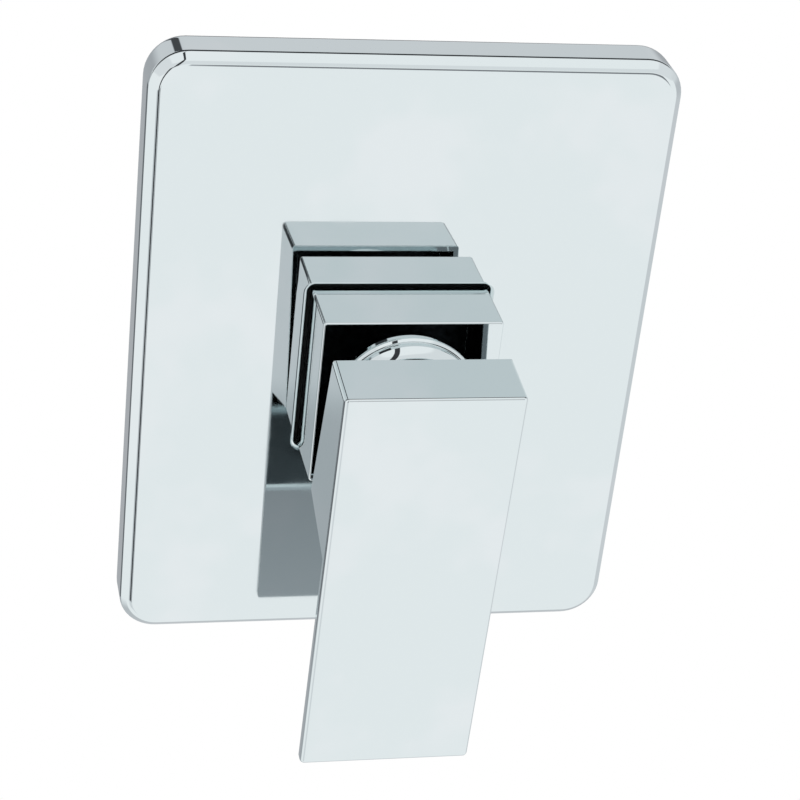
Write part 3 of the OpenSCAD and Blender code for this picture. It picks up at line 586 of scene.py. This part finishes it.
def thread_tree(name, finish):
    """Rows of four points round the ridge, wound round Z from the mouth inwards."""
    tree = bpy.data.node_groups.new(name, "GeometryNodeTree")
    tree.interface.new_socket("Geometry", in_out="OUTPUT", socket_type="NodeSocketGeometry")
    for size in thread_sizes:
        tree.interface.new_socket(size, in_out="INPUT", socket_type="NodeSocketFloat")
    given = add_node(tree, "NodeGroupInput")
    steps = (given["Length"] / given["Pitch"] * points_per_turn).math("FLOOR")
    rows = add_node(tree, "GeometryNodeMeshGrid", None, {"Vertices X": steps + 3, "Vertices Y": 4})

    # The first and the last row lie on the crest next to them and so close the ends
    index = add_node(tree, "GeometryNodeInputIndex")["Index"]
    row = (index / 4).math("FLOOR") - 1
    step = row.math("MAXIMUM", 0).math("MINIMUM", steps)
    closing = (row - step).math("ABSOLUTE")
    flank = (index.math("MODULO", 4).math("MODULO", 3) - 1) * (1 - closing)
    crest = 1 - flank.math("ABSOLUTE")

    fade = (step / fading_points).math("MINIMUM", (steps - step) / fading_points).math("MINIMUM", 1)
    radius = given["Bore radius"] + given["Buried"] - crest * (given["Buried"] + given["Ridge"] * fade)
    turns = step / points_per_turn
    angle = turns * (-2 * math.pi)
    out = given["Mouth"] - given["Pitch"] * turns + flank * given["Half foot"] * given["Pitch"]
    point = add_node(tree, "ShaderNodeCombineXYZ", None,
                     {"X": radius * angle.math("COSINE"), "Y": radius * angle.math("SINE"), "Z": out})
    wound = add_node(tree, "GeometryNodeSetPosition", None,
                     {"Geometry": rows["Mesh"], "Position": point["Vector"]})
    closed = add_node(tree, "GeometryNodeMergeByDistance", None,
                      {"Geometry": wound["Geometry"], "Distance": 0.001})
    real = add_node(tree, "GeometryNodeRealizeInstances", None, {"Geometry": closed["Geometry"]})
    coated = add_node(tree, "GeometryNodeSetMaterial", None,
                      {"Geometry": real["Geometry"], "Material": finish})
    add_node(tree, "NodeGroupOutput", None, {"Geometry": coated["Geometry"]})
    return tree


def port_thread(name, side, tree):
    """The thread of one port; side is the way that the port looks, in degrees from the right."""
    piece = new_object(name, bmesh.new())
    maker = piece.modifiers.new("thread", "NODES")
    maker.node_group = tree
    for item in tree.interface.items_tree:
        if item.in_out == "INPUT":
            maker[item.identifier] = thread_sizes[item.name]
    settle(piece)
    look = Matrix.Rotation(math.radians(90 - side), 4, "Y") @ Matrix.Rotation(math.pi, 4, "Z")
    piece.data.transform(Matrix.Scale(0.001, 4) @ Matrix.Translation((0, port_y, 0)) @ look)
    finish_piece(piece, None, "body", "brass", angle=50)


ridge = thread_tree("port_thread", turned_brass)
port_thread("hot_thread", 180, ridge)
port_thread("cold_thread", 0, ridge)
port_thread("shower_thread", 90, ridge)


# Plastic and ceramic pieces. The cartridge's housing, base, guide, driver and limit ring and the
# adaptor that centres the square hub are moulded, the two discs inside are lapped ceramic. Only
# the cartridge's neck and guide can be glimpsed, through the dome's mouth.
def moulded_plastic(name, tint, rough):
    finish, tree = new_finish(name)
    place = add_node(tree, "ShaderNodeTexCoord")["Object"]
    grain = noise(place, scale=500.0, roughness=0.55)
    shade = tuple(c * 0.95 for c in tint)
    set_surface(tree, {"Base Color": blend(grain, shade, tint), "Roughness": rough + grain * 0.12})
    return finish


dress(["cartridge_housing", "spindle_guide"], moulded_plastic("white_plastic", (0.80, 0.80, 0.77), 0.42))
dress(["sleeve_adaptor", "cartridge_base", "disc_driver", "limit_ring"],
      moulded_plastic("grey_plastic", (0.20, 0.22, 0.25), 0.45))
dress(["fixed_disc", "moving_disc"], moulded_plastic("lapped_ceramic", (0.84, 0.80, 0.74), 0.16))


# Steel pieces. The pivot pin and the socket screw that clamps the lever on its stem, plain
# ground steel.
def ground_steel(name):
    finish, tree = new_finish(name)
    place = add_node(tree, "ShaderNodeTexCoord")["Object"]
    grain = noise(place, scale=1200.0)
    set_surface(tree, {"Base Color": (0.42, 0.43, 0.45), "Metallic": 1.0, "Roughness": 0.25 + grain * 0.15})
    return finish


dress(["pivot_pin", "grub_screw"], ground_steel("ground_steel"))


# Floor. A plain white floor well below the mixer. The camera sees it pure white, and the plating
# doesn't mirror it. The floor, the lamps and the camera have their sizes and places in metres.
floor_half, floor_level = 40.0, -0.45


def white_floor(name):
    finish, tree = new_finish(name)
    rays = add_node(tree, "ShaderNodeLightPath")
    seen = rays["Is Camera Ray"].math("MAXIMUM", rays["Is Transmission Ray"])
    lit = add_node(tree, "ShaderNodeBsdfPrincipled", None,
                   {"Base Color": (0.9, 0.9, 0.9), "Roughness": 0.9})
    plain = add_node(tree, "ShaderNodeEmission", None, {"Color": (1.0, 1.0, 1.0)})
    mix = add_node(tree, "ShaderNodeMixShader", None, {0: seen, 1: lit["BSDF"], 2: plain["Emission"]})
    add_node(tree, "ShaderNodeOutputMaterial", None, {"Surface": mix["Shader"]})
    return finish


floor_mesh = bpy.data.meshes.new("studio_floor")
floor_mesh.from_pydata([(floor_half * sx, floor_half * sy, floor_level)
                        for sx, sy in ((-1, -1), (1, -1), (1, 1), (-1, 1))], [], [(0, 1, 2, 3)])
floor_mesh.materials.append(white_floor("floor_white"))
floor_piece = bpy.data.objects.new("studio_floor", floor_mesh)
bpy.context.scene.collection.objects.link(floor_piece)
floor_piece.visible_glossy = False


# Studio. The white room that the polished pieces mirror, with soft grey fields behind and dark
# cards that give the plating its edges. Only glossy rays see it, everything else gets even light.
# Fields and cards are placed by their direction from the mixer, in degrees.
world = bpy.data.worlds.new("studio")
bpy.context.scene.world = world
world.use_nodes = True
tree = world.node_tree
tree.nodes.clear()
rays = add_node(tree, "ShaderNodeLightPath")
way = add_node(tree, "ShaderNodeTexCoord")["Generated"]
parts = add_node(tree, "ShaderNodeSeparateXYZ", None, {"Vector": way})
x, y, z = parts["X"], parts["Y"], parts["Z"]
front = y * -1.0
# From the front to the right, from the front up and over, and above the horizon
round_z = x.math("ARCTAN2", front) * (180 / math.pi)
round_x = z.math("ARCTAN2", front) * (180 / math.pi)
height = z.math("ARCSINE") * (180 / math.pi)


def darkest(*cards):
    """Where cards lie over each other, the darkest one counts."""
    found = cards[0]
    for card in cards[1:]:
        found = found.math("MAXIMUM", card)
    return found


# Fields. White in front, a shade greyer over the horizon. Behind, grey that gets paler upwards
# and at the far right, and nearly black just under the horizon right of the middle
rear = y.ramp(-0.1, 0.15)
front_field = 1.0 - height.band(12, 44, 5) * 0.14
rear_right = x.ramp(-0.05, 0.08) * round_z.ramp(159, 169, 0.25, 1.0)
plain_field = height.ramp(-5, 10, x.ramp(0.35, 0.65, 0.0, 0.36) + 0.44, 0.7)
low_field = add_node(tree, "ShaderNodeMapRange", None,
                     {"Value": height, "From Min": -13.2, "From Max": -27.5,
                      "To Min": 0.03, "To Max": 0.46})
deep_field = low_field["Result"] + height.ramp(-4, 12, 0.0, 0.69)
under_field = height.ramp(-40, -50, 0.0, 0.16)
rear_field = plain_field * (1 - rear_right) + deep_field * rear_right + under_field
level = front_field * (1 - rear) + rear_field * rear

# Cards in front. Low on the left two upright ones with a grey slit between them and a paler one
# beside them, a tall and a high one over them, and a dark horizon on the right
low_front = height.band(-46, -21, 3) * height.ramp(-38, -35.5, 0.25, 1.0)
outer_card = round_z.band(-31, -15.8, 1)
inner_card = round_z.band(-9.5, -5, 1) * 0.8
pale_card = round_z.band(-43, -30, 4) * 0.45
slit = round_z.band(-15.8, -9.5, 1) * height.ramp(-29.3, -30.3, 0.29, 0.49)
low_cards = darkest(outer_card, inner_card, pale_card, slit) * low_front
tall_card = round_z.band(-29, -19, 1) * height.band(-24, 18, 3)
high_card = round_z.band(-19, -9, 1) * height.band(16, 80, 4)
dark_horizon = height.band(-13, 2, 2) * round_z.band(9, 32, 3) * 0.8
front_cards = darkest(low_cards, tall_card, high_card, dark_horizon) * (1 - rear)

# Cards behind. One overhead, a narrow upright one left of the middle and a low one on the far left
roof_card = round_x.band(98, 138, 5) * x.ramp(0.8, 0.95, 1.0, 0.0)
upright_card = (x / y.math("MAXIMUM", 0.05)).band(-0.17, -0.04, 0.03) * rear * z.ramp(0.02, 0.12)
left_card = round_z.band(-146, -94, 4) * height.band(-36, -16, 2)
dark = darkest(darkest(front_cards, roof_card) * 0.95, upright_card * 0.9, left_card * 0.62)
level = level * (1 - dark)

# Mirrored light, plain light for everything else, and white for the camera
plain_light = 0.75
strength = rays["Is Glossy Ray"] * level + (1 - rays["Is Glossy Ray"]) * plain_light
strength = strength * (1 - rays["Is Camera Ray"]) + rays["Is Camera Ray"]
tone = blend(level, (0.95, 1.0, 1.08), (0.99, 1.007, 1.015))
colour = blend(rays["Is Glossy Ray"], (1.0, 1.0, 1.0), tone)
sky = add_node(tree, "ShaderNodeBackground", None, {"Color": colour, "Strength": strength})
add_node(tree, "ShaderNodeOutputWorld", None, {"Surface": sky["Background"]})


# Lamps. Two soft panels at the upper left and right in front, which give the brass and the
# rubber their gentle shade. The plating doesn't mirror them.
lamp_size = 1.2
for name, at, power in (("soft_left", (-0.9, -1.1, 1.2), 7.0), ("soft_right", (1.1, -0.9, 0.9), 4.0)):
    lamp = bpy.data.lights.new(name, "AREA")
    lamp.size = lamp_size
    lamp.energy = power
    lamp_piece = bpy.data.objects.new(name, lamp)
    lamp_piece.location = at
    lamp_piece.rotation_euler = (-Vector(at)).to_track_quat("-Z", "Y").to_euler()
    lamp_piece.visible_glossy = False
    bpy.context.scene.collection.objects.link(lamp_piece)


# Camera. At the photograph's angle: from the upper left in front, with a slight roll. Its focal
# length is known in pixels of the photograph.
photo_px, focal_px, sensor_mm = 800, 2426.5, 36
turn, tip, roll = math.radians(-14.63), math.radians(29.6), math.radians(6.66)
aim, distance = Vector((0.00689, 0.0, -0.0182)), 0.6781
away = Vector((math.sin(turn) * math.cos(tip), -math.cos(turn) * math.cos(tip), math.sin(tip)))
right = Vector((math.cos(turn), math.sin(turn), 0))
up = away.cross(right)
right_rolled = right * math.cos(roll) + up * math.sin(roll)
up_rolled = up * math.cos(roll) - right * math.sin(roll)
lens = bpy.data.cameras.new("camera")
lens.sensor_width = sensor_mm
lens.lens = focal_px * sensor_mm / photo_px
lens.clip_start = 0.01
camera = bpy.data.objects.new("camera", lens)
camera.matrix_world = Matrix([(right_rolled[i], up_rolled[i], away[i], aim[i] + away[i] * distance)
                              for i in range(3)] + [(0, 0, 0, 1)])
bpy.context.scene.collection.objects.link(camera)
bpy.context.scene.camera = camera
bpy.context.scene.view_settings.view_transform = "Standard"
